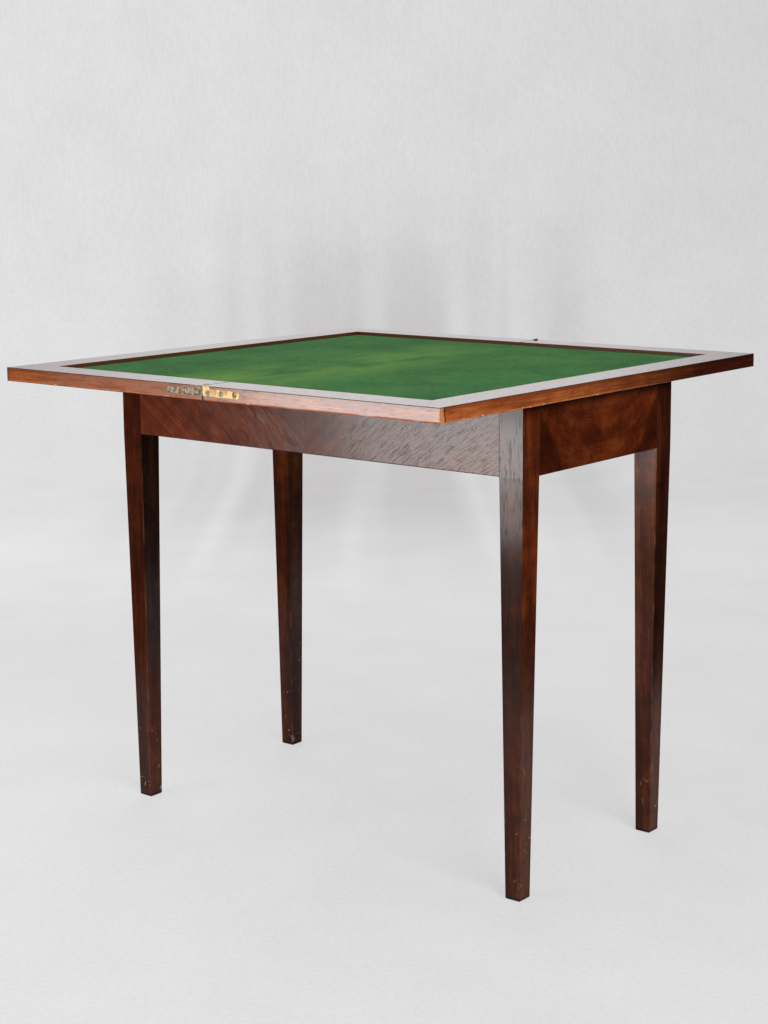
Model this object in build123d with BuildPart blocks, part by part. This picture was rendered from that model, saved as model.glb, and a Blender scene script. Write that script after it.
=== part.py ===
from build123d import *
import os

# Card table with a swivelling, unfolding top, shown open: the folded top has been
# turned a quarter turn on its pivot and its upper leaf swung over to make a square.
# Origin: on the floor, under the centre of the frame. +X runs along the frame, the
# fixed leaf lies at +X and the folding leaf at -X. Lengths are in millimetres.

# Whole table
table_height = 740.0
open_side = 836.0
leaf_thickness = 21.0
frame_length = 790.0
frame_width = 398.0
running_gap = 0.3
fold_gap = 0.3
overrun = 5.0

# Legs
leg_side = 40.5
foot_side = 25.5
leg_edge_ease = 0.6
foot_chamfer = 1.5

# Aprons, mortised into the legs and faced with matched veneer
apron_height = 103.0
core_thickness = 19.2
veneer_thickness = 0.8
veneer_seam = 0.1
tenon_thickness = 8.0
tenon_length = 23.0
tenon_setback = 6.0
tenon_top_shoulder = 12.0
tenon_bottom_shoulder = 9.0
mortise_end_gap = 0.7

# Card well at the -X end, under the folding leaf
partition_thickness = 12.0
partition_housing = 5.0
cleat_side = 12.0
cleat_rise = 3.0
floor_thickness = 7.0
floor_gap = 0.5
nail_side = 2.2
nail_head_side = 5.0
nail_head_height = 0.8
nail_length = 16.0
nails_per_long_cleat = 4
nails_per_short_cleat = 3

# Pivot rail, dovetailed down into the long aprons, with the stop groove
rail_width = 100.0
rail_thickness = 22.0
dovetail_depth = 12.0
dovetail_neck = 76.0
dovetail_end = 88.0
groove_radius = 35.0
groove_depth = 10.0
stop_pin_radius = 4.0
stop_pin_drop = 8.0
stop_pin_seat = 10.0
stop_gap = 0.3
swivel_angle = 90.0

# Pivot bolt, its plate, washer and nut
bolt_radius = 6.0
bolt_fit = 0.1
bolt_head_side = 20.0
bolt_head_height = 6.0
bolt_point = 3.0
bolt_chamfer = 1.0
pivot_plate_length = 100.0
pivot_plate_width = 44.0
pivot_plate_thickness = 4.0
plate_screw_inset = 11.0
washer_side = 28.0
washer_thickness = 2.5
nut_side = 20.0
nut_height = 9.0
nut_chamfer = 1.2

# Top leaves: a core panel tongued into three mitred border rails
border_width = 55.0
border_edge_round = 0.9
tongue_thickness = 6.0
tongue_length = 8.0
tongue_rise = 6.0
groove_end_gap = 0.5
baize_recess = 5.6
baize_thickness = 1.0
show_veneer_thickness = 0.8

# Brass edge hinges
hinge_length = 70.0
hinge_strip_height = 10.0
hinge_strip_drop = 4.7
hinge_thickness = 3.0
fixed_ear_width = 13.0
folding_ear_width = 15.0
ear_inner_round = 2.0
ear_outer_round = 2.0
folding_end_round = 0.6
lug_width = 5.5
lug_height = 7.0
knuckle_radius = 2.0
knuckle_length = 2.6
knuckle_gap = 0.3
axis_rise = 0.3
hinge_pin_radius = 0.9
hinge_pin_fit = 0.05
knuckle_clearance = 0.3
screw_offset = 9.0
screw_pitch = 26.0
screws_per_plate = 3

# The flush slotted heads of the screws, for the hinges and for the pivot plate
screw_head_radius = 3.6
screw_slot_width = 0.8
screw_slot_depth = 0.9
plate_screw_head_radius = 4.4
first_slot_angle = 35.0
slot_angle_step = 50.0

# Heights and places that follow from the sizes above
half_side = open_side / 2
leaf_bottom = table_height - leaf_thickness
frame_top = leaf_bottom - running_gap
apron_bottom = frame_top - apron_height
apron_thickness = core_thickness + veneer_thickness
inner_length = frame_length - 2 * apron_thickness
inner_width = frame_width - 2 * apron_thickness
between_legs_x = frame_length - 2 * leg_side
between_legs_y = frame_width - 2 * leg_side
fold_edge = fold_gap / 2
field_side = half_side - border_width
baize_top = table_height - baize_recess
panel_top = baize_top - baize_thickness
tongue_bottom = leaf_bottom + tongue_rise
hinge_axis_z = table_height + axis_rise
pivot_offset = half_side / 4
rail_bottom = frame_top - rail_thickness
plate_top = leaf_bottom + pivot_plate_thickness
washer_top = rail_bottom - running_gap
nut_top = washer_top - washer_thickness
bolt_end = nut_top - nut_height - bolt_point
cleat_bottom = apron_bottom + cleat_rise
floor_bottom = cleat_bottom + cleat_side
floor_top = floor_bottom + floor_thickness
knuckle_step = knuckle_length + knuckle_gap
barrel_length = 3 * knuckle_length + 2 * knuckle_gap
lug_depth = hinge_thickness + barrel_length

os.makedirs("parts", exist_ok=True)
sides = {"fixed": 1, "folding": -1}
flanks = {"front": -1, "back": 1}


def save(shape, name):
    shape.label = name
    export_step(shape, f"parts/{name}.step")


# The planes that cut one side of a square post at the origin down to the leg: the taper of
# the face, its arris eased above and below the apron's edge, and the chamfer round the foot.
def leg_cuts():
    lean = (leg_side - foot_side) / 2 / apron_bottom
    arris = (leg_side / 2, leg_side / 2 - leg_edge_ease, apron_bottom)
    return (Plane((leg_side / 2, 0, apron_bottom), z_dir=(1, 0, -lean)),
            Plane(arris, z_dir=(1, 1, 0)),
            Plane(arris, z_dir=(1, 1, -2 * lean)),
            Plane((foot_side / 2 - foot_chamfer, 0, 0), z_dir=(1, 0, -1)))


# One leg: square beside the aprons, then tapered on all four faces down to the foot.
def make_leg(x_sign, y_sign):
    centre = (x_sign * (frame_length - leg_side) / 2, y_sign * (frame_width - leg_side) / 2)
    with BuildPart() as leg:
        with Locations((*centre, frame_top / 2)):
            Box(leg_side, leg_side, frame_top)
        for turn in (0, 90, 180, 270):
            side = Location((*centre, 0), (0, 0, turn))
            for cut in leg_cuts():
                split(bisect_by=Plane(side * cut.location), keep=Keep.BOTTOM)
        # Mortises for the long apron and for the short one
        mortise_depth = tenon_length + mortise_end_gap
        mortise_height = apron_height - tenon_top_shoulder - tenon_bottom_shoulder
        mortise_z = apron_bottom + tenon_bottom_shoulder + mortise_height / 2
        tenon_in = tenon_setback + tenon_thickness / 2
        with Locations((x_sign * (frame_length / 2 - leg_side + mortise_depth / 2),
                        y_sign * (frame_width / 2 - tenon_in), mortise_z)):
            Box(mortise_depth, tenon_thickness, mortise_height, mode=Mode.SUBTRACT)
        with Locations((x_sign * (frame_length / 2 - tenon_in),
                        y_sign * (frame_width / 2 - leg_side + mortise_depth / 2), mortise_z)):
            Box(tenon_thickness, mortise_depth, mortise_height, mode=Mode.SUBTRACT)
    return leg.part


# The plan of one dovetail, its neck at y = 0 and its wide end at y = depth.
def dovetail_plan(depth):
    with BuildSketch() as plan:
        with BuildLine():
            Polyline((-dovetail_neck / 2, 0), (dovetail_neck / 2, 0),
                     (dovetail_end / 2, depth), (-dovetail_end / 2, depth), close=True)
        make_face()
    return plan.sketch


# An apron core drawn along X with its outer face towards -Y: the board and its two tenons.
def apron_blank(clear_length, outside):
    tenon_height = apron_height - tenon_top_shoulder - tenon_bottom_shoulder
    tenon_z = apron_bottom + tenon_bottom_shoulder + tenon_height / 2
    with BuildPart() as blank:
        with Locations((0, -outside + veneer_thickness + core_thickness / 2,
                        apron_bottom + apron_height / 2)):
            Box(clear_length, core_thickness, apron_height)
        with Locations((0, -outside + tenon_setback + tenon_thickness / 2, tenon_z)):
            Box(clear_length + 2 * tenon_length, tenon_thickness, tenon_height)
    return blank.part


# A long apron, with the dovetail socket of the pivot rail and the housing of the partition.
def make_long_apron(flank):
    with BuildPart() as apron:
        if flank < 0:
            add(apron_blank(between_legs_x, frame_width / 2))
        else:
            add(apron_blank(between_legs_x, frame_width / 2), rotation=(0, 0, 180))
        inner_face = flank * inner_width / 2
        with BuildSketch(Plane.XY.offset(rail_bottom)):
            with Locations(Location((pivot_offset, inner_face), 0 if flank > 0 else 180)):
                add(dovetail_plan(dovetail_depth))
        extrude(amount=rail_thickness, mode=Mode.SUBTRACT)
        with Locations((0, inner_face, apron_bottom + apron_height / 2)):
            Box(partition_thickness, 2 * partition_housing, apron_height, mode=Mode.SUBTRACT)
    return apron.part


def make_short_apron(x_sign):
    with BuildPart() as apron:
        add(apron_blank(between_legs_y, frame_length / 2), rotation=(0, 0, 90 * x_sign))
    return apron.part


# Two matched leaves of veneer that meet in a hairline seam at the middle of an apron.
def make_apron_veneer(clear_length, outside, angle):
    leaf_length = (clear_length - veneer_seam) / 2
    with BuildPart() as veneer:
        with Locations(Location((0, 0, 0), (0, 0, angle))):
            with Locations(*[(end * (veneer_seam + leaf_length) / 2, -outside + veneer_thickness / 2,
                              apron_bottom + apron_height / 2) for end in (-1, 1)]):
                Box(leaf_length, veneer_thickness, apron_height)
    return veneer.part


# The rail that carries the pivot, with the quarter-circle groove of the stop pin.
def make_pivot_rail():
    with BuildLine() as pin_path:
        CenterArc((0, 0), groove_radius, -swivel_angle, swivel_angle)
    with BuildPart() as rail:
        with Locations((pivot_offset, 0, rail_bottom + rail_thickness / 2)):
            Box(rail_width, inner_width, rail_thickness)
        with BuildSketch(Plane.XY.offset(rail_bottom)):
            for flank in flanks.values():
                with Locations(Location((pivot_offset, flank * inner_width / 2), 0 if flank > 0 else 180)):
                    add(dovetail_plan(dovetail_depth))
        extrude(amount=rail_thickness)
        with Locations((pivot_offset, pivot_offset, rail_bottom + rail_thickness / 2)):
            Cylinder(bolt_radius + bolt_fit, rail_thickness, mode=Mode.SUBTRACT)
        with BuildSketch(Plane((pivot_offset, pivot_offset, frame_top - groove_depth))):
            SlotArc(pin_path.wire(), 2 * (stop_pin_radius + stop_gap))
        extrude(amount=groove_depth, mode=Mode.SUBTRACT)
    return rail.part


def make_well_partition():
    with BuildPart() as partition:
        with Locations((0, 0, apron_bottom + apron_height / 2)):
            Box(partition_thickness, inner_width + 2 * partition_housing, apron_height)
    return partition.part


# Nail places in the well floor, over the middle of each cleat.
def nail_places():
    half_x = inner_length / 2 - cleat_side / 2
    half_y = inner_width / 2 - cleat_side / 2
    inner_x = partition_thickness / 2 + cleat_side / 2
    long_start = between_legs_x / 2 - cleat_side
    long_end = partition_thickness / 2 + 2 * cleat_side
    short_half = between_legs_y / 2 - cleat_side
    places = []
    for index in range(nails_per_long_cleat):
        x = -long_start + index * (long_start - long_end) / (nails_per_long_cleat - 1)
        places += [(x, -half_y), (x, half_y)]
    for index in range(nails_per_short_cleat):
        y = -short_half + index * 2 * short_half / (nails_per_short_cleat - 1)
        places += [(-half_x, y), (-inner_x, y)]
    return places


# The holes of the cut nails, down from the upper face of the floor.
def nail_shanks():
    with BuildPart() as shanks:
        with BuildSketch(Plane.XY.offset(floor_top - nail_length)):
            with Locations(*nail_places()):
                Rectangle(nail_side, nail_side)
        extrude(amount=nail_length)
    return shanks.part


# A cleat glued to the inside of the carcase and nailed through the floor.
def make_cleat(centre_x, centre_y, length_x, length_y):
    with BuildPart() as cleat:
        with Locations((centre_x, centre_y, cleat_bottom + cleat_side / 2)):
            Box(length_x, length_y, cleat_side)
        add(nail_shanks(), mode=Mode.SUBTRACT)
    return cleat.part


def make_well_floor():
    left = -inner_length / 2
    right = -partition_thickness / 2
    with BuildPart() as floor:
        with Locations(((left + right) / 2, 0, floor_bottom + floor_thickness / 2)):
            Box(right - left, inner_width, floor_thickness)
        # Notches round the two legs
        notch = leg_side - apron_thickness + floor_gap
        for flank in flanks.values():
            with Locations((left + notch / 2, flank * (inner_width - notch) / 2,
                            floor_bottom + floor_thickness / 2)):
                Box(notch, notch, floor_thickness, mode=Mode.SUBTRACT)
        add(nail_shanks(), mode=Mode.SUBTRACT)
    return floor.part


def make_floor_nails():
    with BuildPart() as nails:
        add(nail_shanks())
        with BuildSketch(Plane.XY.offset(floor_top)):
            with Locations(*nail_places()):
                Rectangle(nail_head_side, nail_head_side)
        extrude(amount=nail_head_height)
    return nails.part


# The slotted head of a screw, flush at z = 0 and as deep as the plate that it holds.
def screw_head(radius, plate_thickness):
    with BuildPart() as head:
        with Locations((0, 0, -plate_thickness / 2)):
            Cylinder(radius, plate_thickness)
        with Locations((0, 0, -screw_slot_depth / 2)):
            Box(2 * radius + overrun, screw_slot_width, screw_slot_depth, mode=Mode.SUBTRACT)
    return head.part


# A round hole for a screw's head through a plate.
def screw_hole(radius, plate_thickness):
    with BuildPart() as hole:
        with Locations((0, 0, -plate_thickness / 2)):
            Cylinder(radius, plate_thickness)
    return hole.part


# The slots stop at whatever angle the screws went home.
def slot_turn(index):
    return Location((0, 0, 0), (0, 0, first_slot_angle + index * slot_angle_step))


# Where the screws of one hinge plate go, each frame with its Z axis out of the leaf's edge.
def hinge_screw_planes(side, flank):
    z = table_height - hinge_strip_drop - hinge_strip_height / 2
    planes = []
    for index in range(screws_per_plate):
        x = side * (fold_edge + screw_offset + index * screw_pitch)
        planes.append(Plane((x, flank * half_side, z), x_dir=(side, 0, 0), z_dir=(0, flank, 0)))
    return planes


# The part of a hinge plate that is let into the leaf: the strip with its ear, and the lug.
def hinge_blank(side, flank):
    ear_width = fixed_ear_width if side > 0 else folding_ear_width
    end_round = hinge_strip_height / 2 - folding_end_round if side > 0 else folding_end_round
    strip_top = table_height - hinge_strip_drop
    strip_bottom = strip_top - hinge_strip_height
    near = side * fold_edge
    ear_end = side * (fold_edge + ear_width)
    far = side * (fold_edge + hinge_length)
    outer = flank * half_side
    with BuildPart() as blank:
        with BuildSketch(Plane.XZ.offset(-outer)) as outline:
            with BuildLine():
                Polyline((near, strip_bottom), (far, strip_bottom), (far, strip_top), (ear_end, strip_top),
                         (ear_end, table_height), (near, table_height), close=True)
            make_face()
            for x, z, radius in ((far, strip_bottom, end_round), (far, strip_top, end_round),
                                 (ear_end, strip_top, ear_inner_round),
                                 (ear_end, table_height, ear_outer_round)):
                fillet(outline.vertices().sort_by_distance((x, z))[0], radius)
        extrude(amount=flank * hinge_thickness)
        with Locations((side * (fold_edge + lug_width / 2), outer - flank * lug_depth / 2,
                        table_height - lug_height / 2)):
            Box(lug_width, lug_depth, lug_height)
    return blank.part


# The knuckles stand behind the plate: the fixed leaf has the outer two, the folding leaf the middle one.
def knuckle_spans(side):
    starts = (0, 2) if side > 0 else (1,)
    return [(hinge_thickness + start * knuckle_step, hinge_thickness + start * knuckle_step + knuckle_length)
            for start in starts]


# The notch in a lug that clears a knuckle of the other leaf between two depths.
def knuckle_notch(side, flank, start, end):
    reach = knuckle_radius + knuckle_clearance
    with BuildPart() as notch:
        with Locations((side * reach / 2, flank * (half_side - (start + end) / 2), hinge_axis_z)):
            Box(reach, end - start + 2 * knuckle_gap, 2 * reach)
    return notch.part


# A cylinder on the hinge axis between two depths behind the leaf's edge.
def axis_cylinder(flank, radius, start, end):
    with BuildPart() as cylinder:
        with BuildSketch(Plane.XZ.offset(-flank * (half_side - start))):
            with Locations((0, hinge_axis_z)):
                Circle(radius)
        extrude(amount=flank * (end - start))
    return cylinder.part


def make_hinge_plate(side, flank):
    pin_hole = hinge_pin_radius if side > 0 else hinge_pin_radius + hinge_pin_fit
    with BuildPart() as plate:
        add(hinge_blank(side, flank))
        for start, end in knuckle_spans(-side):
            add(knuckle_notch(side, flank, start, end), mode=Mode.SUBTRACT)
        for start, end in knuckle_spans(side):
            add(axis_cylinder(flank, knuckle_radius, start, end))
        add(axis_cylinder(flank, pin_hole, hinge_thickness, lug_depth), mode=Mode.SUBTRACT)
        for plane in hinge_screw_planes(side, flank):
            with Locations(plane.location):
                add(screw_hole(screw_head_radius, hinge_thickness), mode=Mode.SUBTRACT)
    return plate.part


def make_hinge_screws(side):
    with BuildPart() as screws:
        for flank in flanks.values():
            for index, plane in enumerate(hinge_screw_planes(side, flank)):
                with Locations(plane.location * slot_turn(index)):
                    add(screw_head(screw_head_radius, hinge_thickness))
    return screws.part


def make_hinge_pin(flank):
    with BuildPart() as pin:
        add(axis_cylinder(flank, hinge_pin_radius, hinge_thickness, lug_depth))
    return pin.part


# The core panel of a leaf, tongued on three edges; the fold edge is square.
def make_panel(side):
    bottom = leaf_bottom if side > 0 else leaf_bottom + show_veneer_thickness
    with BuildPart() as panel:
        with Locations((side * (fold_edge + field_side) / 2, 0, (bottom + panel_top) / 2)):
            Box(field_side - fold_edge, 2 * field_side, panel_top - bottom)
        tongued_side = field_side + tongue_length
        with Locations((side * (fold_edge + tongued_side) / 2, 0, tongue_bottom + tongue_thickness / 2)):
            Box(tongued_side - fold_edge, 2 * tongued_side, tongue_thickness)
        if side > 0:
            pivot = (pivot_offset, pivot_offset)
            with Locations((*pivot, leaf_bottom + pivot_plate_thickness / 2)):
                Box(pivot_plate_width, pivot_plate_length, pivot_plate_thickness, mode=Mode.SUBTRACT)
            with Locations((*pivot, plate_top + bolt_head_height / 2)):
                Box(bolt_head_side, bolt_head_side, bolt_head_height, mode=Mode.SUBTRACT)
            with Locations((pivot_offset + groove_radius, pivot_offset, leaf_bottom + stop_pin_seat / 2)):
                Cylinder(stop_pin_radius, stop_pin_seat, mode=Mode.SUBTRACT)
    return panel.part


# The cross-section of a border rail: y = 0 at its outer edge, z from its bottom to the top.
def border_section(bottom, round_bottom):
    with BuildSketch() as section:
        with Locations((border_width / 2, (bottom + table_height) / 2)):
            Rectangle(border_width, table_height - bottom)
        for z in (table_height, bottom) if round_bottom else (table_height,):
            fillet(section.vertices().sort_by_distance((0, z))[0], border_edge_round)
        groove_depth_in_border = tongue_length + groove_end_gap
        with Locations((border_width - groove_depth_in_border / 2, tongue_bottom + tongue_thickness / 2)):
            Rectangle(groove_depth_in_border, tongue_thickness, mode=Mode.SUBTRACT)
    return section.sketch


# A border rail along one flank, mitred at its outer end and let in for the hinge.
def make_border_side(side, flank):
    bottom = leaf_bottom if side > 0 else leaf_bottom + show_veneer_thickness
    outer = flank * half_side
    inner = flank * field_side
    with BuildPart() as rail:
        with BuildSketch(Plane((side * half_side, outer, 0), x_dir=(0, -flank, 0), z_dir=(-flank, 0, 0))):
            add(border_section(bottom, side > 0))
        extrude(amount=side * flank * (half_side - fold_edge))
        with BuildSketch(Plane.XY.offset(leaf_bottom)):
            with BuildLine():
                Polyline((side * fold_edge, outer), (side * half_side, outer),
                         (side * field_side, inner), (side * fold_edge, inner), close=True)
            make_face()
        extrude(amount=leaf_thickness, mode=Mode.INTERSECT)
        add(hinge_blank(side, flank), mode=Mode.SUBTRACT)
        # The pocket of the lug, deeper by a gap for the end of the knuckles
        with Locations((side * (fold_edge + lug_width / 2), outer - flank * (lug_depth + knuckle_gap) / 2,
                        table_height - lug_height / 2)):
            Box(lug_width, lug_depth + knuckle_gap, lug_height, mode=Mode.SUBTRACT)
    return rail.part


# The border rail across the leaf's outer end, mitred at both ends.
def make_border_end(side):
    bottom = leaf_bottom if side > 0 else leaf_bottom + show_veneer_thickness
    outer = side * half_side
    inner = side * field_side
    with BuildPart() as rail:
        with BuildSketch(Plane((outer, -side * half_side, 0), x_dir=(-side, 0, 0), z_dir=(0, side, 0))):
            add(border_section(bottom, side > 0))
        extrude(amount=open_side)
        with BuildSketch(Plane.XY.offset(leaf_bottom)):
            with BuildLine():
                Polyline((outer, -half_side), (outer, half_side), (inner, field_side),
                         (inner, -field_side), close=True)
            make_face()
        extrude(amount=leaf_thickness, mode=Mode.INTERSECT)
    return rail.part


def make_baize(side):
    with BuildPart() as baize:
        with Locations((side * (fold_edge + field_side) / 2, 0, panel_top + baize_thickness / 2)):
            Box(field_side - fold_edge, 2 * field_side, baize_thickness)
    return baize.part


# The matched veneer that shows when the top is folded, on the underside while it is open.
def make_show_veneer():
    leaf_width = half_side - veneer_seam / 2
    with BuildPart() as veneer:
        with Locations(*[(-(fold_edge + half_side) / 2, flank * (veneer_seam + leaf_width) / 2,
                          leaf_bottom + show_veneer_thickness / 2) for flank in flanks.values()]):
            Box(half_side - fold_edge, leaf_width, show_veneer_thickness)
    return veneer.part


# Where the screws of the pivot plate go, each frame with its Z axis down.
def plate_screw_planes():
    reach_x = pivot_plate_width / 2 - plate_screw_inset
    reach_y = pivot_plate_length / 2 - plate_screw_inset
    return [Plane((pivot_offset + sx * reach_x, pivot_offset + sy * reach_y, leaf_bottom), z_dir=(0, 0, -1))
            for sx in (-1, 1) for sy in (-1, 1)]


def make_pivot_plate():
    with BuildPart() as plate:
        with BuildSketch(Plane((pivot_offset, pivot_offset, leaf_bottom))):
            Rectangle(pivot_plate_width, pivot_plate_length)
            Circle(bolt_radius, mode=Mode.SUBTRACT)
        extrude(amount=pivot_plate_thickness)
        for plane in plate_screw_planes():
            with Locations(plane.location):
                add(screw_hole(plate_screw_head_radius, pivot_plate_thickness), mode=Mode.SUBTRACT)
    return plate.part


def make_pivot_plate_screws():
    with BuildPart() as screws:
        for index, plane in enumerate(plate_screw_planes()):
            with Locations(plane.location * slot_turn(index)):
                add(screw_head(plate_screw_head_radius, pivot_plate_thickness))
    return screws.part


# The pivot bolt: a square head trapped over the plate and a shank down through the rail.
def make_pivot_bolt():
    with BuildPart() as bolt:
        with Locations((pivot_offset, pivot_offset, plate_top + bolt_head_height / 2)):
            Box(bolt_head_side, bolt_head_side, bolt_head_height)
        with BuildSketch(Plane((pivot_offset, pivot_offset, bolt_end))):
            Circle(bolt_radius)
        extrude(amount=plate_top - bolt_end)
        chamfer(bolt.faces().sort_by(Axis.Z)[0].edges(), bolt_chamfer)
    return bolt.part


def make_pivot_washer():
    with BuildPart() as washer:
        with BuildSketch(Plane((pivot_offset, pivot_offset, nut_top))):
            Rectangle(washer_side, washer_side)
            Circle(bolt_radius, mode=Mode.SUBTRACT)
        extrude(amount=washer_thickness)
    return washer.part


def make_pivot_nut():
    with BuildPart() as nut:
        with BuildSketch(Plane((pivot_offset, pivot_offset, nut_top - nut_height))):
            Rectangle(nut_side, nut_side)
        extrude(amount=nut_height)
        chamfer(nut.faces().sort_by(Axis.Z)[0].edges(), nut_chamfer)
        with Locations((pivot_offset, pivot_offset, nut_top - nut_height / 2)):
            Cylinder(bolt_radius, nut_height, mode=Mode.SUBTRACT)
    return nut.part


def make_stop_pin():
    with BuildPart() as pin:
        with BuildSketch(Plane((pivot_offset + groove_radius, pivot_offset, leaf_bottom - stop_pin_drop))):
            Circle(stop_pin_radius)
        extrude(amount=stop_pin_drop + stop_pin_seat)
    return pin.part


# Frame
for x_sign, x_name in ((-1, "left"), (1, "right")):
    for flank_name, flank in flanks.items():
        save(make_leg(x_sign, flank), f"leg_{flank_name}_{x_name}")
    save(make_short_apron(x_sign), f"apron_{x_name}")
    save(make_apron_veneer(between_legs_y, frame_length / 2, 90 * x_sign), f"veneer_{x_name}")
for flank_name, flank in flanks.items():
    save(make_long_apron(flank), f"apron_{flank_name}")
    save(make_apron_veneer(between_legs_x, frame_width / 2, 0 if flank < 0 else 180), f"veneer_{flank_name}")
save(make_pivot_rail(), "pivot_rail")

# Card well
save(make_well_partition(), "well_partition")
save(make_well_floor(), "well_floor")
save(make_floor_nails(), "floor_nails")
cleat_reach = (between_legs_x / 2 + partition_thickness / 2) / 2
cleat_run = between_legs_x / 2 - partition_thickness / 2
for flank_name, flank in flanks.items():
    save(make_cleat(-cleat_reach, flank * (inner_width - cleat_side) / 2, cleat_run, cleat_side),
         f"cleat_{flank_name}")
save(make_cleat(-(inner_length - cleat_side) / 2, 0, cleat_side, between_legs_y), "cleat_left")
save(make_cleat(-(partition_thickness + cleat_side) / 2, 0, cleat_side, inner_width - 2 * cleat_side),
     "cleat_partition")

# Leaves and their hinges
for side_name, side in sides.items():
    save(make_panel(side), f"{side_name}_panel")
    save(make_border_end(side), f"{side_name}_border_end")
    save(make_baize(side), f"baize_{side_name}")
    save(make_hinge_screws(side), f"hinge_screws_{side_name}")
    for flank_name, flank in flanks.items():
        save(make_border_side(side, flank), f"{side_name}_border_{flank_name}")
        save(make_hinge_plate(side, flank), f"hinge_{side_name}_{flank_name}")
for flank_name, flank in flanks.items():
    save(make_hinge_pin(flank), f"hinge_pin_{flank_name}")
save(make_show_veneer(), "show_veneer")

# Pivot of the fixed leaf
save(make_pivot_plate(), "pivot_plate")
save(make_pivot_plate_screws(), "pivot_plate_screws")
save(make_pivot_bolt(), "pivot_bolt")
save(make_pivot_washer(), "pivot_washer")
save(make_pivot_nut(), "pivot_nut")
save(make_stop_pin(), "stop_pin")
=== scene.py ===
import bpy
from math import pi, radians
from mathutils import Euler, Matrix, Vector, noise


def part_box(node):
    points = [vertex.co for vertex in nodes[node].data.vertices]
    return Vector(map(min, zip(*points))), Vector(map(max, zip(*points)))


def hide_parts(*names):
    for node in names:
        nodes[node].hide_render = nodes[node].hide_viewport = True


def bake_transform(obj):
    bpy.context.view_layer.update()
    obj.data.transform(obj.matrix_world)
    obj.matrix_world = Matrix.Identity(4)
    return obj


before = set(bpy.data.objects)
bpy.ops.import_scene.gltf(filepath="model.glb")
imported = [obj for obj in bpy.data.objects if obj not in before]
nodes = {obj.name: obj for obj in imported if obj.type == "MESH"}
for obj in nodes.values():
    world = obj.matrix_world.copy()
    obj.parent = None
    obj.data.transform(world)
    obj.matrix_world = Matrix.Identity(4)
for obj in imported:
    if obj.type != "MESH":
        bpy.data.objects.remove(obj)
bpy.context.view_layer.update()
print("card table: frame loaded,", len(nodes), "nodes")

# Places read from the frame, in metres
railLow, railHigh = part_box("fixed_border_end")
clothLow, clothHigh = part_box("baize_fixed")
legLow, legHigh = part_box("leg_front_right")
apronLow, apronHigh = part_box("veneer_front")
screwsLow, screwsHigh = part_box("hinge_screws_fixed")
tableTop = railHigh.z
leafBottom = railLow.z
halfSide = railHigh.x
fieldSide = clothHigh.x              # from the middle to the edge of the cloth
legSide = legHigh.x - legLow.x
millimetre = 0.001


def millimetres(*sizes):
    return tuple(size * millimetre for size in sizes)


# Camera

photoCamera = {
    "location": (1.85753, -2.32037, 1.04979),
    "pitch": -9.094,      # degrees below the horizon
    "roll": -0.416,
    "yaw": 38.831,
    "lens": 66.65,
    "sensor": 36.0,       # along the picture's long side
    "shiftUp": -0.0466,
}


def makeCamera(settings):
    data = bpy.data.cameras.new("photoCamera")
    data.sensor_fit = "AUTO"
    data.sensor_width = settings["sensor"]
    data.lens = settings["lens"]
    data.shift_y = settings["shiftUp"]
    camera = bpy.data.objects.new("photoCamera", data)
    turn = Euler((radians(90 + settings["pitch"]), 0, radians(settings["yaw"]))).to_matrix().to_4x4()
    roll = Matrix.Rotation(radians(settings["roll"]), 4, "Z")
    camera.matrix_world = Matrix.Translation(settings["location"]) @ turn @ roll
    bpy.context.scene.collection.objects.link(camera)
    bpy.context.scene.camera = camera


makeCamera(photoCamera)
print("camera set")


# Helpers for node materials

def feed(tree, socket, value):
    if isinstance(value, bpy.types.NodeSocket):
        tree.links.new(value, socket)
    elif value is not None:
        socket.default_value = value


def addNode(tree, kind, inputs=None, **settings):
    node = tree.nodes.new(kind)
    for name, value in settings.items():
        setattr(node, name, value)
    for name, value in (inputs or {}).items():
        feed(tree, node.inputs[name], value)
    return node


def calc(tree, operation, first, second=None, third=None):
    node = addNode(tree, "ShaderNodeMath", operation=operation)
    for socket, value in zip(node.inputs, (first, second, third)):
        feed(tree, socket, value)
    return node.outputs[0]


def product(tree, first, *others):
    for other in others:
        first = calc(tree, "MULTIPLY", first, other)
    return first


# A number that goes from start to end as the mask goes from 0 to 1
def between(tree, mask, start, end):
    return calc(tree, "MULTIPLY_ADD", mask, end - start, start)


def inverse(tree, mask):
    return calc(tree, "SUBTRACT", 1.0, mask)


# Smooth step of a value from 0 at start to 1 at end, both counted from base, also where end is the lower one
def fade(tree, value, start, end, base=0.0):
    low, high = (0.0, 1.0) if end > start else (1.0, 0.0)
    node = addNode(tree, "ShaderNodeMapRange", interpolation_type="SMOOTHSTEP", inputs={
        "Value": value, "From Min": base + min(start, end), "From Max": base + max(start, end),
        "To Min": low, "To Max": high})
    return node.outputs["Result"]


# The mix node's colours are its inputs 6 and 7, and its output 2
def mixColour(tree, factor, first, second, how="MIX"):
    node = addNode(tree, "ShaderNodeMix", data_type="RGBA", blend_type=how)
    feed(tree, node.inputs[0], factor)
    for index, colour in ((6, first), (7, second)):
        feed(tree, node.inputs[index], colour if isinstance(colour, bpy.types.NodeSocket) else (*colour, 1))
    return node.outputs[2]


# The colour multiplied by a tint, as far as the mask says
def tinted(tree, mask, colour, tint):
    return mixColour(tree, mask, colour, mixColour(tree, 1.0, colour, tint, "MULTIPLY"))


def greyOf(tree, value):
    return addNode(tree, "ShaderNodeCombineColor", {"Red": value, "Green": value, "Blue": value}).outputs[0]


def ramp(tree, value, stops):
    node = addNode(tree, "ShaderNodeValToRGB", {"Fac": value})
    while len(node.color_ramp.elements) < len(stops):
        node.color_ramp.elements.new(0.5)
    for element, (position, colour) in zip(node.color_ramp.elements, stops):
        element.position = position
        element.color = (*colour, 1)
    return node.outputs["Color"]


def asTriple(value):
    return value if isinstance(value, tuple) else (value,) * 3


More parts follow.
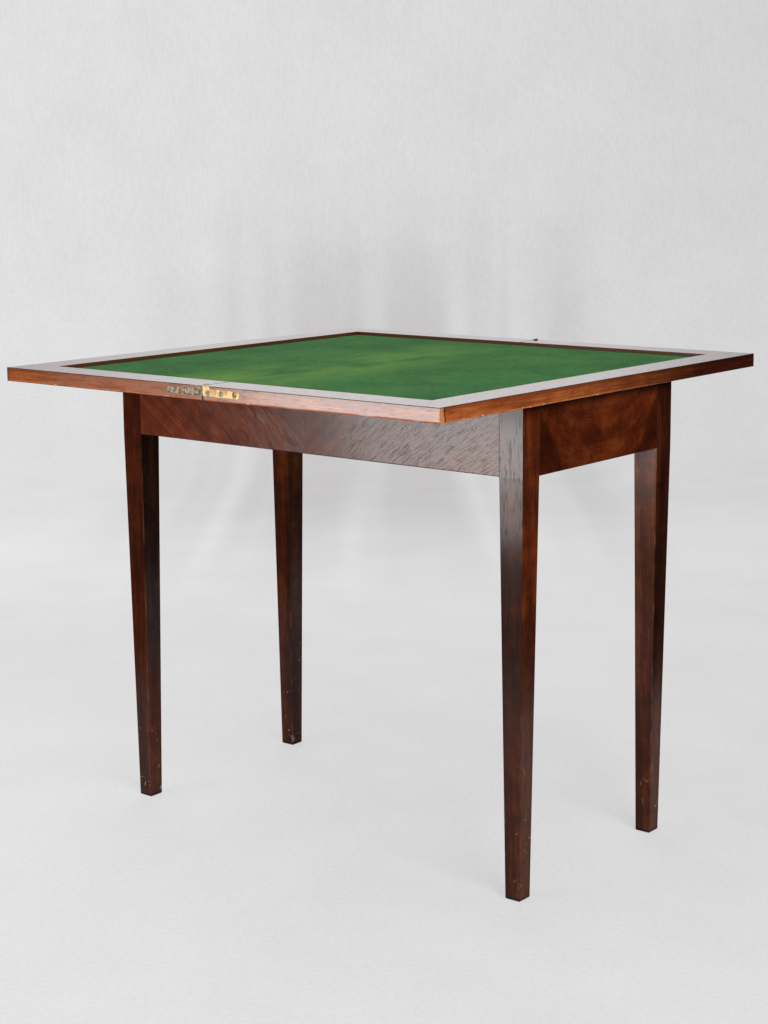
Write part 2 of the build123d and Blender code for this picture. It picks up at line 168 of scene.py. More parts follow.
# Noise whose features have this size in metres, the same along the vector's three axes or one for each
def grainNoise(tree, vector, size, shift=0.0, detail=3.0, rough=0.5, distort=0.0):
    place = addNode(tree, "ShaderNodeMapping", vector_type="TEXTURE", inputs={
        "Vector": vector, "Location": asTriple(shift), "Scale": asTriple(size)})
    node = addNode(tree, "ShaderNodeTexNoise", {"Vector": place.outputs[0], "Scale": 1.0, "Detail": detail,
                                                "Roughness": rough, "Distortion": distort})
    return node.outputs["Fac"]


def objectPlace(tree):
    return addNode(tree, "ShaderNodeTexCoord").outputs["Object"]


def splitPlace(tree, vector):
    return addNode(tree, "ShaderNodeSeparateXYZ", {"Vector": vector}).outputs


def addBump(tree, shader, height, strength, distance, sockets=("Normal",)):
    bump = addNode(tree, "ShaderNodeBump", {"Height": height, "Strength": strength, "Distance": distance})
    for name in sockets:
        feed(tree, shader.inputs[name], bump.outputs[0])


def startMaterial(name):
    material = bpy.data.materials.new(name)
    material.use_nodes = True
    tree = material.node_tree
    return material, tree, tree.nodes["Principled BSDF"]


def dress(nodeNames, material):
    for name in nodeNames:
        nodes[name].data.materials.clear()
        nodes[name].data.materials.append(material)


# Mahogany

# In the dictionaries below, most pairs say where something fades in, from none of it to all of it. Show is
# how strongly it shows, Cloud the noise that breaks it up, and Wander how far that noise moves its border.
# A noise is given by its size, shift, detail and roughness.

polish = {
    "roughness": 0.18, "specular": 0.5, "coat": 0.30, "coatRoughness": 0.10,
    "poreShow": 1.0, "poreDepth": 0.17, "wave": 0.10,
}
legPolish = dict(polish, specular=0.18, coat=0.85, roughness=0.20, poreDepth=0.12)
apronPolish = dict(polish, coat=0.255, poreDepth=0.19, wave=0.03)
borderPolish = dict(polish, roughness=0.2, coat=0.9, poreShow=0.6, poreDepth=0.10, wave=0.03)

legWood = {
    "dark": (0.026, 0.0054, 0.0020), "mid": (0.050, 0.0102, 0.0030), "light": (0.092, 0.020, 0.0054),
    "figure": (0.30, 0.022, 0.022), "streak": (0.16, 0.0016, 0.0016), "shift": (0.3, 0.1, 0.2),
    "streakShare": 0.3, "mottleShare": 0.3, "pore": (0.022, 0.0020, 0.0020), "polish": legPolish,
}
apronWood = {
    "dark": (0.100, 0.0225, 0.0078), "mid": (0.150, 0.0360, 0.0120), "light": (0.215, 0.057, 0.019),
    "figure": (0.14, 0.014, 0.014), "streak": (0.12, 0.0040, 0.0040), "shift": (0.7, 0.4, 0.1),
    "streakShare": 0.3, "mottleShare": 0.4, "pore": (0.020, 0.0017, 0.0017), "polish": apronPolish,
}
flameWood = {
    "dark": (0.070, 0.0105, 0.0022), "mid": (0.125, 0.0205, 0.0040), "light": (0.20, 0.040, 0.0085),
    "figure": (0.12, 0.030, 0.030), "streak": (0.08, 0.0020, 0.0020), "shift": (0.2, 0.9, 0.3),
    "streakShare": 0.2, "mottleShare": 0.4, "pore": (0.020, 0.0013, 0.0013), "polish": polish,
}
borderWood = {
    "dark": (0.060, 0.014, 0.0055), "mid": (0.13, 0.032, 0.011), "light": (0.22, 0.064, 0.022),
    "figure": (0.25, 0.016, 0.016), "streak": (0.12, 0.0018, 0.0018), "shift": (0.5, 0.2, 0.8),
    "streakShare": 0.4, "mottleShare": 0.3, "pore": (0.012, 0.0019, 0.0019), "polish": borderPolish,
}

# What all the woods share. The grain entries are detail, roughness and distortion.
woodFeel = {
    "figureGrain": (3.0, 0.5, 0.3), "streakGrain": (3.0, 0.6), "mottle": 0.030, "mottleGrain": (4.0, 0.6),
    "contrast": (0.38, 0.62), "poreGrain": (2.0,), "poreEdge": (0.52, 0.70),
    "poreColour": (0.012, 0.004, 0.002), "poreShade": 0.45, "poreRough": 0.08, "poreUncoated": 0.6,
    "streakRough": 0.06, "streakHeight": 0.1, "wornRough": 0.8,
    "waves": (0.035, (0.9, 0.1, 0.6), 1.0, 0.5), "bumpDistance": 0.25 * millimetre,
}


# The grain runs along X of the vector that each of these gives, in metres
def turnedGrain(tree, turn):
    turned = addNode(tree, "ShaderNodeMapping", vector_type="TEXTURE", inputs={
        "Vector": objectPlace(tree), "Rotation": [radians(angle) for angle in turn]})
    return turned.outputs[0]


def grainAlongX(tree):
    return objectPlace(tree)


def grainAlongY(tree):
    return turnedGrain(tree, (0, 0, 90))


def grainUpright(tree):
    return turnedGrain(tree, (0, 90, 0))


# Matched leaves of veneer: mirrored about a seam, with grain lines that climb from it and bend
def matchedGrain(tree, seamAxis, slope, bend, acrossAxis="Z"):
    parts = splitPlace(tree, objectPlace(tree))
    along = calc(tree, "ABSOLUTE", parts[seamAxis])
    climb = calc(tree, "MULTIPLY", along, slope)
    curve = product(tree, along, along, bend)
    across = calc(tree, "SUBTRACT", calc(tree, "SUBTRACT", parts[acrossAxis], climb), curve)
    return addNode(tree, "ShaderNodeCombineXYZ", {"X": along, "Y": across, "Z": 0.0}).outputs[0]


# Broad figure, fine streaks and cloudy mottle together, from 0 dark to 1 light
def woodTone(tree, grain, wood):
    figure = grainNoise(tree, grain, wood["figure"], wood["shift"], *woodFeel["figureGrain"])
    streak = grainNoise(tree, grain, wood["streak"], wood["shift"], *woodFeel["streakGrain"])
    mottle = grainNoise(tree, objectPlace(tree), woodFeel["mottle"], wood["shift"], *woodFeel["mottleGrain"])
    total = calc(tree, "MULTIPLY", figure, 1 - wood["streakShare"] - wood["mottleShare"])
    total = calc(tree, "MULTIPLY_ADD", streak, wood["streakShare"], total)
    total = calc(tree, "MULTIPLY_ADD", mottle, wood["mottleShare"], total)
    return fade(tree, total, *woodFeel["contrast"]), streak


# Open pores: short dark dashes along the grain
def woodPores(tree, grain, wood):
    dashes = grainNoise(tree, grain, wood["pore"], 0.0, *woodFeel["poreGrain"])
    return fade(tree, dashes, *woodFeel["poreEdge"])


# Polish over the wood: less of it in the pores, none where it is worn through, and shine scales the coat
def finishWood(tree, shader, colour, pores, streak, worn, shine, polishing):
    show = polishing["poreShow"]
    filled = calc(tree, "MULTIPLY", pores, woodFeel["poreShade"] * show)
    feed(tree, shader.inputs["Base Color"], mixColour(tree, filled, colour, woodFeel["poreColour"]))
    smoothest = polishing["roughness"] - woodFeel["streakRough"] / 2
    rough = calc(tree, "MULTIPLY_ADD", streak, woodFeel["streakRough"], smoothest)
    rough = calc(tree, "MULTIPLY_ADD", pores, woodFeel["poreRough"] * show, rough)
    uncoated = -woodFeel["poreUncoated"] * show * polishing["coat"]
    coat = calc(tree, "MULTIPLY_ADD", pores, uncoated, polishing["coat"])
    if worn:
        rough = calc(tree, "MAXIMUM", rough, calc(tree, "MULTIPLY", worn, woodFeel["wornRough"]))
        coat = calc(tree, "MULTIPLY", coat, inverse(tree, worn))
    if shine:
        coat = calc(tree, "MULTIPLY", coat, shine)
    feed(tree, shader.inputs["Roughness"], rough)
    feed(tree, shader.inputs["Coat Weight"], coat)
    shader.inputs["Coat Roughness"].default_value = polishing["coatRoughness"]
    shader.inputs["Specular IOR Level"].default_value = polishing["specular"]
    height = calc(tree, "SUBTRACT", calc(tree, "MULTIPLY", streak, woodFeel["streakHeight"]), pores)
    waves = grainNoise(tree, objectPlace(tree), *woodFeel["waves"])
    height = calc(tree, "MULTIPLY_ADD", waves, polishing["wave"], height)
    addBump(tree, shader, height, polishing["poreDepth"], woodFeel["bumpDistance"], ("Normal", "Coat Normal"))


# What decorates a wood gives its colour, where the polish is worn through, and how much of its shine stays
def makeWood(name, wood, grainOf, decorate=None):
    material, tree, shader = startMaterial(name)
    grain = grainOf(tree)
    tone, streak = woodTone(tree, grain, wood)
    pores = woodPores(tree, grain, wood)
    colour = ramp(tree, tone, ((0.0, wood["dark"]), (0.5, wood["mid"]), (1.0, wood["light"])))
    worn, shine = None, None
    if decorate:
        colour, worn, shine = decorate(tree, colour, tone)
    finishWood(tree, shader, colour, pores, streak, worn, shine, wood["polish"])
    return material


# Legs: grain up and down, redder at the top, arrises rubbed lighter, knocks and pale scratches near the feet

legWear = {
    "centreX": (legLow.x + legHigh.x) / 2, "centreY": -(legLow.y + legHigh.y) / 2, "nearCentre": 0.1,
    "halfFoot": 12.75 * millimetre, "sidePaintedLightZone": (0.18, 0.30),
    "redTop": (2.1, 1.9, 1.7), "redZone": (0.42, 0.64),
    "redCloud": ((0.05, 0.05, 0.12), 0.4), "redWander": 0.3,
    "glow": (2.25, 1.9, 1.0), "glowCloud": ((0.03, 0.03, 0.06), (0.1, 0.8, 0.6), 2.0, 0.5),
    "glowEdge": (0.34, 0.50), "glowBottom": (0.37, 0.44), "glowTop": (0.57, 0.50),
    "arris": (0.20, 0.070, 0.026), "arrisWidth": millimetres(2.0, 0.4), "arrisShow": 0.6, "arrisBare": 0.5,
    "arrisCloud": ((0.012, 0.012, 0.05), 0.0), "arrisEdge": (0.45, 0.65),
    "knock": (0.42, 0.30, 0.22), "knockZone": (0.24, 0.12), "knockShow": 0.6,
    "scratch": ((0.030, 0.030, 0.060), (0.2, 0.5, 0.1), 2.0, 0.5), "scratchEdge": (0.010, 0.003),
    "breaks": (0.016, (0.7, 0.1, 0.3), 3.0, 0.6), "breakEdge": (0.54, 0.62),
    "sole": (0.006, 0.003, 0.002), "soleZone": millimetres(7, 2), "soleShow": 0.85,
    "shineZone": (0.30, 0.55), "shineLow": 0.1, "shineBack": 0.15, "topZone": (0.67, 0.712), "shineTop": 0.5,
}

# Painted light, shade and sheen on the sides of the legs: which leg in X and in Y, 1 for its sides that look
# along X or 0 for those along Y, and the tint that lightens or darkens those sides
legSidePaintedLight = (
    (1, 1, 1, (0.44, 0.50, 0.75)), (1, 1, 0, (1.45, 1.45, 1.2)), (-1, -1, 1, (0.48, 0.8, 1.3)),
    (-1, 1, 1, (1.9, 3.2, 4.6)), (-1, -1, 0, (1.0, 0.85, 0.75)), (1, -1, 0, (0.72, 0.85, 1.0)),
    (-1, 1, 0, (1.25, 1.2, 1.1)),
)


def offCentre(tree, part, centre):
    return calc(tree, "ABSOLUTE", calc(tree, "SUBTRACT", calc(tree, "ABSOLUTE", part), centre))


# The rubbed arrises of a leg, whose thickness grows from the foot up to the aprons
def rubbedArris(tree, place, height, offX, offY):
    lean = (legSide / 2 - legWear["halfFoot"]) / apronLow.z
    halfLeg = calc(tree, "MULTIPLY_ADD", height, lean, legWear["halfFoot"])
    halfLeg = calc(tree, "MINIMUM", halfLeg, legSide / 2)
    inward = calc(tree, "SUBTRACT", halfLeg, calc(tree, "MINIMUM", offX, offY))
    patches = fade(tree, grainNoise(tree, place, *legWear["arrisCloud"]), *legWear["arrisEdge"])
    return product(tree, fade(tree, inward, *legWear["arrisWidth"]), patches)


# Thin pale scratches run where a noise crosses its middle, near the feet only
def legScratches(tree, place, height):
    path = calc(tree, "ABSOLUTE", calc(tree, "SUBTRACT", grainNoise(tree, place, *legWear["scratch"]), 0.5))
    broken = fade(tree, grainNoise(tree, place, *legWear["breaks"]), *legWear["breakEdge"])
    return product(tree, fade(tree, path, *legWear["scratchEdge"]), broken,
                   fade(tree, height, *legWear["knockZone"]))


def decorateLeg(tree, colour, tone):
    place = objectPlace(tree)
    parts = splitPlace(tree, place)
    height = parts["Z"]
    cloud = grainNoise(tree, place, *legWear["redCloud"])
    level = calc(tree, "SUBTRACT", height, legWear["redWander"] / 2)
    level = calc(tree, "MULTIPLY_ADD", cloud, legWear["redWander"], level)
    colour = tinted(tree, fade(tree, level, *legWear["redZone"]), colour, legWear["redTop"])
    offX = offCentre(tree, parts["X"], legWear["centreX"])
    offY = offCentre(tree, parts["Y"], legWear["centreY"])
    alongX = calc(tree, "GREATER_THAN", offX, offY)
    onRight = calc(tree, "GREATER_THAN", parts["X"], 0.0)
    atBack = calc(tree, "GREATER_THAN", parts["Y"], 0.0)
    # Painted light: a warm lit patch half way up the front right leg, on its sides that look along X
    paintedGlow = fade(tree, grainNoise(tree, place, *legWear["glowCloud"]), *legWear["glowEdge"])
    paintedGlow = product(tree, paintedGlow, alongX, fade(tree, height, *legWear["glowBottom"]),
                      fade(tree, height, *legWear["glowTop"]), calc(tree, "GREATER_THAN", onRight, atBack))
    colour = tinted(tree, paintedGlow, colour, legWear["glow"])
    # Painted light and shade: the tint for each leg's sides that look along X or along Y
    for legX, legY, facing, sidePaintedLight in legSidePaintedLight:
        here = product(tree,
                       calc(tree, "COMPARE", parts["X"], legX * legWear["centreX"], legWear["nearCentre"]),
                       calc(tree, "COMPARE", parts["Y"], legY * legWear["centreY"], legWear["nearCentre"]),
                       calc(tree, "COMPARE", alongX, facing, 0.5),
                       fade(tree, height, *legWear["sidePaintedLightZone"]))
        colour = tinted(tree, here, colour, sidePaintedLight)
    arris = rubbedArris(tree, place, height, offX, offY)
    knocks = legScratches(tree, place, height)
    sole = fade(tree, height, *legWear["soleZone"])
    for mask, show, name in ((arris, "arrisShow", "arris"), (sole, "soleShow", "sole"),
                             (knocks, "knockShow", "knock")):
        colour = mixColour(tree, calc(tree, "MULTIPLY", mask, legWear[show]), colour, legWear[name])
    bare = calc(tree, "MAXIMUM", calc(tree, "MULTIPLY", arris, legWear["arrisBare"]), knocks)
    # The coat thins low down and on the back legs, and is halved at the very top as painted shade under the
    # top's overhang
    shine = product(tree, between(tree, fade(tree, height, *legWear["shineZone"]), legWear["shineLow"], 1.0),
                    between(tree, atBack, 1.0, legWear["shineBack"]),
                    between(tree, fade(tree, height, *legWear["topZone"]), 1.0, legWear["shineTop"]))
    return colour, bare, shine


legNames = [name for name in nodes if name.startswith("leg_")]
dress(legNames, makeWood("legMahogany", legWood, grainUpright, decorateLeg))
print("legs dressed")


# Aprons: diagonal grain on the long ones, curved flames on the short ones, each mirrored at the seam

veneerPattern = {
    "longSlope": 0.95, "longBend": -0.4, "shortSlope": -0.10, "shortBend": 3.0,
    "seam": (0.02, 0.006, 0.003), "seamWidth": 0.8 * millimetre, "seamShow": 0.35,
    "lowerLine": millimetres(1.6, 0.5), "lowerShow": 0.8,
    "leftLeaf": (1.5, 1.1, 0.9), "leftZone": (0.30, 0.02), "leftCloud": (0.08, (0.6, 0.3, 0.9), 4.0, 0.6),
    "leftWander": 0.35, "flameWide": 0.165, "flameNarrow": 0.085, "flameOpening": 0.6,
    "flameCloud": (0.05, 0.3), "flameWander": 0.05, "flameEdge": (-0.010, 0.008),
    "flameOutside": (0.45, 0.42, 0.40), "frontLeaf": (0.8, 0.8, 0.8),
}


# A thin dark line along the lower edge
def lowerLine(tree, colour):
    parts = splitPlace(tree, objectPlace(tree))
    low = fade(tree, parts["Z"], *veneerPattern["lowerLine"], apronLow.z)
    darkLines = calc(tree, "MULTIPLY", low, veneerPattern["lowerShow"])
    return mixColour(tree, darkLines, colour, veneerPattern["seam"]), low, None


# The left leaf is redder, and the change is soft and cloudy
def decorateLongApron(tree, colour, tone):
    place = objectPlace(tree)
    cloud = grainNoise(tree, place, *veneerPattern["leftCloud"])
    level = calc(tree, "MULTIPLY_ADD", cloud, veneerPattern["leftWander"], splitPlace(tree, place)["X"])
    redder = fade(tree, level, *veneerPattern["leftZone"])
    return lowerLine(tree, tinted(tree, redder, colour, veneerPattern["leftLeaf"]))


# A lighter flame that narrows towards the lower edge, with darker wood outside it and on the front leaf
def decorateShortApron(tree, colour, tone):
    place = objectPlace(tree)
    parts = splitPlace(tree, place)
    fromSeam = calc(tree, "ABSOLUTE", parts["Y"])
    rise = calc(tree, "DIVIDE", calc(tree, "SUBTRACT", parts["Z"], apronLow.z), apronHigh.z - apronLow.z)
    opening = calc(tree, "POWER", rise, veneerPattern["flameOpening"])
    edge = between(tree, opening, veneerPattern["flameNarrow"], veneerPattern["flameWide"])
    wobble = calc(tree, "SUBTRACT", grainNoise(tree, place, *veneerPattern["flameCloud"]), 0.5)
    edge = calc(tree, "MULTIPLY_ADD", wobble, veneerPattern["flameWander"], edge)
    outside = fade(tree, calc(tree, "SUBTRACT", fromSeam, edge), *veneerPattern["flameEdge"])
    colour = tinted(tree, outside, colour, veneerPattern["flameOutside"])
    colour = tinted(tree, calc(tree, "LESS_THAN", parts["Y"], 0.0), colour, veneerPattern["frontLeaf"])
    seam = fade(tree, fromSeam, veneerPattern["seamWidth"], 0.0)
    seam = calc(tree, "MULTIPLY", seam, veneerPattern["seamShow"])
    return lowerLine(tree, mixColour(tree, seam, colour, veneerPattern["seam"]))


def longGrain(tree):
    return matchedGrain(tree, "X", veneerPattern["longSlope"], veneerPattern["longBend"])


def shortGrain(tree):
    return matchedGrain(tree, "Y", veneerPattern["shortSlope"], veneerPattern["shortBend"])


dress(["veneer_front", "veneer_back"],
      makeWood("longApronVeneer", apronWood, longGrain, decorateLongApron))
dress(["veneer_left", "veneer_right"],
      makeWood("shortApronVeneer", flameWood, shortGrain, decorateShortApron))
print("aprons dressed")


# Border rails: polished dark on top, bleached and knocked along the outer edge

# Pairs in millimetres are counted from the side of the top, from its upper face or from the leaf's underside
edgeWear = {
    "edgeLight": (0.54, 0.150, 0.040), "edgeDark": (0.25, 0.056, 0.014), "outerFace": millimetres(-1.0, -0.3),
    "upperHalf": millimetres(-6.5, -4), "upperShow": 0.7,
    "rosy": (0.46, 0.185, 0.105), "rosySteps": ((-0.39, -0.24, 0.7), (-0.14, -0.06, 0.35)),
    "rosyEnd": (0.078, 0.068), "rosyFront": (0.1, 0.0),
    "lines": ((0.040, 0.040, 0.0030), (0.2, 0.6, 0.3), 3.0, 0.65), "lineEdge": (0.51, 0.57), "lineShow": 0.5,
    "farEnd": (0.14, 0.090, 0.090),      # how far the right side darkens at the back
    "farCloud": ((0.09, 0.09, 0.03), (0.7, 0.2, 0.4)), "farWander": 0.25, "farZone": (-0.075, 0.425),
    "recessWall": (0.100, 0.022, 0.010), "recessReach": millimetres(0.5, 0.1),
    "bare": (0.62, 0.17, 0.045), "lowerArris": millimetres(2.9, 1.5), "bareShow": 0.8,
    "rubs": ((0.030, 0.030, 0.012), (0.1, 0.3, 0.5), 4.0, 0.6), "rubEdge": (0.30, 0.52),
    "corner": (0.66, 0.245, 0.085), "cornerReach": millimetres(-9, -6), "cornerWander": 0.008,
    "cornerShow": 0.85,
    "chip": (0.80, 0.66, 0.52), "dents": ((0.020, 0.020, 0.008), (0.4, 0.1, 0.2), 5.0, 0.75),
    "chipEdge": (0.585, 0.63), "chipShow": 0.8,
    "crack": (0.012, 0.004, 0.002), "crackIn": 10 * millimetre, "crackEdge": millimetres(1.4, 0.6),
    "crackShow": 0.75,
    "joint": millimetres(2.2, 1.1), "jointDepth": millimetres(-1.6, -0.6),
    "darkLineDepth": millimetres(-1.6, -0.8), "darkLineCorner": millimetres(-3.4, -2.0), "darkLineShow": 0.8,
    "unlinedCorner": (0.6, 0.5),           # X less Y: the front right corner gets none of the dark lines
}


# The bleached wood of the outer faces, with how far they darken towards the back
def bleachedEdge(tree, place, parts, tone, onRight):
    bleached = mixColour(tree, tone, edgeWear["edgeDark"], edgeWear["edgeLight"])
    upper = fade(tree, parts["Z"], *edgeWear["upperHalf"], tableTop)
    upper = calc(tree, "MULTIPLY", upper, edgeWear["upperShow"])
    bleached = mixColour(tree, upper, bleached, edgeWear["edgeDark"])
    # The front of the left leaf gets paler and rosier up to the hinge and just past it
    rosy = 0.0
    for start, end, amount in edgeWear["rosySteps"]:
        rosy = calc(tree, "MULTIPLY_ADD", fade(tree, parts["X"], start, end), amount, rosy)
    rosy = product(tree, rosy, fade(tree, parts["X"], *edgeWear["rosyEnd"]),
                   fade(tree, parts["Y"], *edgeWear["rosyFront"], -halfSide))
    bleached = mixColour(tree, rosy, bleached, edgeWear["rosy"])
    lines = fade(tree, grainNoise(tree, place, *edgeWear["lines"]), *edgeWear["lineEdge"])
    lines = calc(tree, "MULTIPLY", lines, edgeWear["lineShow"])
    bleached = mixColour(tree, lines, bleached, edgeWear["edgeDark"])
    cloud = grainNoise(tree, place, *edgeWear["farCloud"])
    backward = calc(tree, "MULTIPLY_ADD", cloud, edgeWear["farWander"], parts["Y"])
    backward = fade(tree, backward, *edgeWear["farZone"])
    return tinted(tree, calc(tree, "MULTIPLY", onRight, backward), bleached, edgeWear["farEnd"]), backward


# Dark lines along the joint of the two leaves, under the top arris and down all corners but the front right
# one
def borderDarkLines(tree, parts, sideX, sideY, onEdge):
    rim = calc(tree, "MAXIMUM", onEdge, fade(tree, parts["Z"], *edgeWear["jointDepth"], tableTop))
    joint = calc(tree, "MULTIPLY", fade(tree, sideX, *edgeWear["joint"]), rim)
    underTop = fade(tree, parts["Z"], *edgeWear["darkLineDepth"], tableTop)
    corners = fade(tree, calc(tree, "MINIMUM", sideX, sideY), *edgeWear["darkLineCorner"], halfSide)
    notFront = fade(tree, calc(tree, "SUBTRACT", parts["X"], parts["Y"]), *edgeWear["unlinedCorner"])
    corners = calc(tree, "MULTIPLY", corners, notFront)
    lines = product(tree, calc(tree, "MAXIMUM", underTop, corners), onEdge, edgeWear["darkLineShow"])
    return calc(tree, "MAXIMUM", joint, lines)


def decorateBorder(tree, colour, tone):
    place = objectPlace(tree)
    parts = splitPlace(tree, place)
    sideX = calc(tree, "ABSOLUTE", parts["X"])
    sideY = calc(tree, "ABSOLUTE", parts["Y"])
    outer = calc(tree, "MAXIMUM", sideX, sideY)
    onEdge = fade(tree, outer, *edgeWear["outerFace"], halfSide)
    onRight = fade(tree, parts["X"], *edgeWear["outerFace"], halfSide)
    bleached, backward = bleachedEdge(tree, place, parts, tone, onRight)
    shown = mixColour(tree, onEdge, colour, bleached)
    # The little wall down to the cloth
    inner = fade(tree, outer, *edgeWear["recessReach"], fieldSide)
    shown = mixColour(tree, inner, shown, edgeWear["recessWall"])
    # The lower arris is rubbed and chipped, and the front corner is bare wood on its right side, with a split
    lowArris = product(tree, fade(tree, parts["Z"], *edgeWear["lowerArris"], leafBottom), onEdge,
                       inverse(tree, backward))
    rubs = grainNoise(tree, place, *edgeWear["rubs"])
    rubbed = product(tree, lowArris, fade(tree, rubs, *edgeWear["rubEdge"]))
    forward = calc(tree, "SUBTRACT", -edgeWear["cornerWander"] / 2, parts["Y"])
    forward = calc(tree, "MULTIPLY_ADD", rubs, edgeWear["cornerWander"], forward)
    corner = product(tree, fade(tree, forward, *edgeWear["cornerReach"], halfSide), onRight)
    dents = grainNoise(tree, place, *edgeWear["dents"])
    chips = product(tree, fade(tree, dents, *edgeWear["chipEdge"]), lowArris)
    fromCrack = calc(tree, "ABSOLUTE", calc(tree, "SUBTRACT", forward, halfSide - edgeWear["crackIn"]))
    crack = product(tree, fade(tree, fromCrack, *edgeWear["crackEdge"]), onRight)
    for mask, show, name in ((rubbed, "bareShow", "bare"), (corner, "cornerShow", "corner"),
                             (chips, "chipShow", "chip"), (crack, "crackShow", "crack")):
        shown = mixColour(tree, calc(tree, "MULTIPLY", mask, edgeWear[show]), shown, edgeWear[name])
    darkLines = borderDarkLines(tree, parts, sideX, sideY, onEdge)
    bare = calc(tree, "MAXIMUM", calc(tree, "MAXIMUM", rubbed, corner), calc(tree, "MAXIMUM", chips, darkLines))
    return mixColour(tree, darkLines, shown, edgeWear["crack"]), bare, None


dress(["fixed_border_front", "fixed_border_back", "folding_border_front", "folding_border_back"],
      makeWood("borderAlongX", borderWood, grainAlongX, decorateBorder))
dress(["fixed_border_end", "folding_border_end"],
      makeWood("borderAlongY", borderWood, grainAlongY, decorateBorder))

# The face that is outside when the top is folded: matched at the middle, its figure climbs along X
showVeneer = {"wood": dict(flameWood, polish=borderPolish), "slope": 0.35, "bend": 0.4}


def showGrain(tree):
    return matchedGrain(tree, "Y", showVeneer["slope"], showVeneer["bend"], "X")


dress(["show_veneer"], makeWood("showVeneer", showVeneer["wood"], showGrain))
print("borders dressed")


# Unpolished wood inside: cores, rail, partition, cleats and floor

carcaseWood = {
    "dark": (0.13, 0.068, 0.034), "mid": (0.26, 0.15, 0.08), "light": (0.38, 0.24, 0.14),
    "figure": (0.45, 0.018, 0.018), "streak": (0.25, 0.0030, 0.0030), "shift": (0.6, 0.6, 0.4),
    "streakShare": 0.4, "mottleShare": 0.15, "pore": (0.012, 0.0010, 0.0010),
    "polish": dict(polish, roughness=0.72, coat=0.0, poreDepth=0.5, wave=0.0),
}
dress(["apron_front", "apron_back", "cleat_front", "cleat_back", "well_floor"],
      makeWood("carcaseAlongX", carcaseWood, grainAlongX))
dress(["apron_left", "apron_right", "cleat_left", "cleat_partition", "well_partition", "pivot_rail",
       "fixed_panel", "folding_panel"],
      makeWood("carcaseAlongY", carcaseWood, grainAlongY))
print("inner wood dressed")


# Metals

metals = {
    "brightBrass": {
        "base": (0.72, 0.50, 0.24), "patch": (0.50, 0.33, 0.15), "spot": 0.009, "roughness": 0.42,
        "metallic": 1.0,
    },
    "tarnishedBrass": {
        "base": (0.36, 0.28, 0.19), "patch": (0.20, 0.145, 0.105), "spot": 0.005, "roughness": 0.48,
        "metallic": 1.0,
    },
    "screwSteel": {
        "base": (0.46, 0.41, 0.34), "patch": (0.15, 0.125, 0.10), "spot": 0.003, "roughness": 0.42,
        "metallic": 1.0,
    },
    "blackIron": {
        "base": (0.075, 0.068, 0.064), "patch": (0.10, 0.045, 0.022), "spot": 0.012, "roughness": 0.55,
        "metallic": 0.8,
    },
}

# What all the metals share
metalFeel = {
    "spotGrain": (5.0, 0.65), "spotEdge": (0.4, 0.62), "spotRough": 0.2,
    "rubs": ((0.012, 0.0012, 0.0006), 0.0), "rubShow": 0.25, "bump": 0.15, "bumpDistance": 0.1 * millimetre,
}

# Dirt in rings round the three screws of a hinge plate, and dull tips where the front hinge stands up
hingeDirt = {
    "grime": (0.035, 0.025, 0.018), "grimeRough": 0.8, "ring": millimetres(4.8, 3.3),
    "screwOffset": 9.15 * millimetre, "screwPitch": 26 * millimetre,
    "screwLine": (screwsLow.z + screwsHigh.z) / 2,
    "tip": (0.42, 0.36, 0.29), "tipZone": millimetres(-1, 1), "tipMetallic": 0.2,
}


def screwGrime(tree, parts):
    fromFold = calc(tree, "SUBTRACT", calc(tree, "ABSOLUTE", parts["X"]), hingeDirt["screwOffset"])
    fromFold = calc(tree, "ADD", fromFold, hingeDirt["screwPitch"])
    fromScrew = calc(tree, "PINGPONG", fromFold, hingeDirt["screwPitch"] / 2)
    rise = calc(tree, "SUBTRACT", parts["Z"], hingeDirt["screwLine"])
    squares = calc(tree, "ADD", product(tree, fromScrew, fromScrew), product(tree, rise, rise))
    return fade(tree, calc(tree, "SQRT", squares), *hingeDirt["ring"])


def makeMetal(name, hinge=False):
    metal = metals[name]
    material, tree, shader = startMaterial(name)
    place = objectPlace(tree)
    spots = grainNoise(tree, place, metal["spot"], 0.0, *metalFeel["spotGrain"])
    spots = fade(tree, spots, *metalFeel["spotEdge"])
    rubs = grainNoise(tree, place, *metalFeel["rubs"])
    colour = mixColour(tree, spots, metal["base"], metal["patch"])
    colour = mixColour(tree, calc(tree, "MULTIPLY", rubs, metalFeel["rubShow"]), colour, metal["patch"])
    rough = calc(tree, "MULTIPLY_ADD", spots, metalFeel["spotRough"], metal["roughness"])
    metallic = metal["metallic"]
    if hinge:
        parts = splitPlace(tree, place)
        grime = screwGrime(tree, parts)
        colour = mixColour(tree, grime, colour, hingeDirt["grime"])
        rough = calc(tree, "MAXIMUM", rough, calc(tree, "MULTIPLY", grime, hingeDirt["grimeRough"]))
        tips = product(tree, fade(tree, parts["Z"], *hingeDirt["tipZone"], tableTop),
                       calc(tree, "LESS_THAN", parts["Y"], 0.0))
        colour = mixColour(tree, tips, colour, hingeDirt["tip"])
        metallic = between(tree, tips, metallic, hingeDirt["tipMetallic"])
    feed(tree, shader.inputs["Base Color"], colour)
    feed(tree, shader.inputs["Roughness"], rough)
    feed(tree, shader.inputs["Metallic"], metallic)
    addBump(tree, shader, rubs, metalFeel["bump"], metalFeel["bumpDistance"])
    return material


dress(["hinge_fixed_front", "hinge_pin_front"], makeMetal("brightBrass", hinge=True))
dress(["hinge_folding_front", "hinge_folding_back", "hinge_fixed_back", "hinge_pin_back"],
      makeMetal("tarnishedBrass", hinge=True))
dress(["hinge_screws_fixed", "hinge_screws_folding"], makeMetal("screwSteel"))
pivotNames = [name for name in nodes if name.startswith("pivot_") and name != "pivot_rail"]
dress(pivotNames + ["stop_pin", "floor_nails"], makeMetal("blackIron"))
print("metals dressed")


# Baize: one cloth glued over both leaves, which bends at the fold

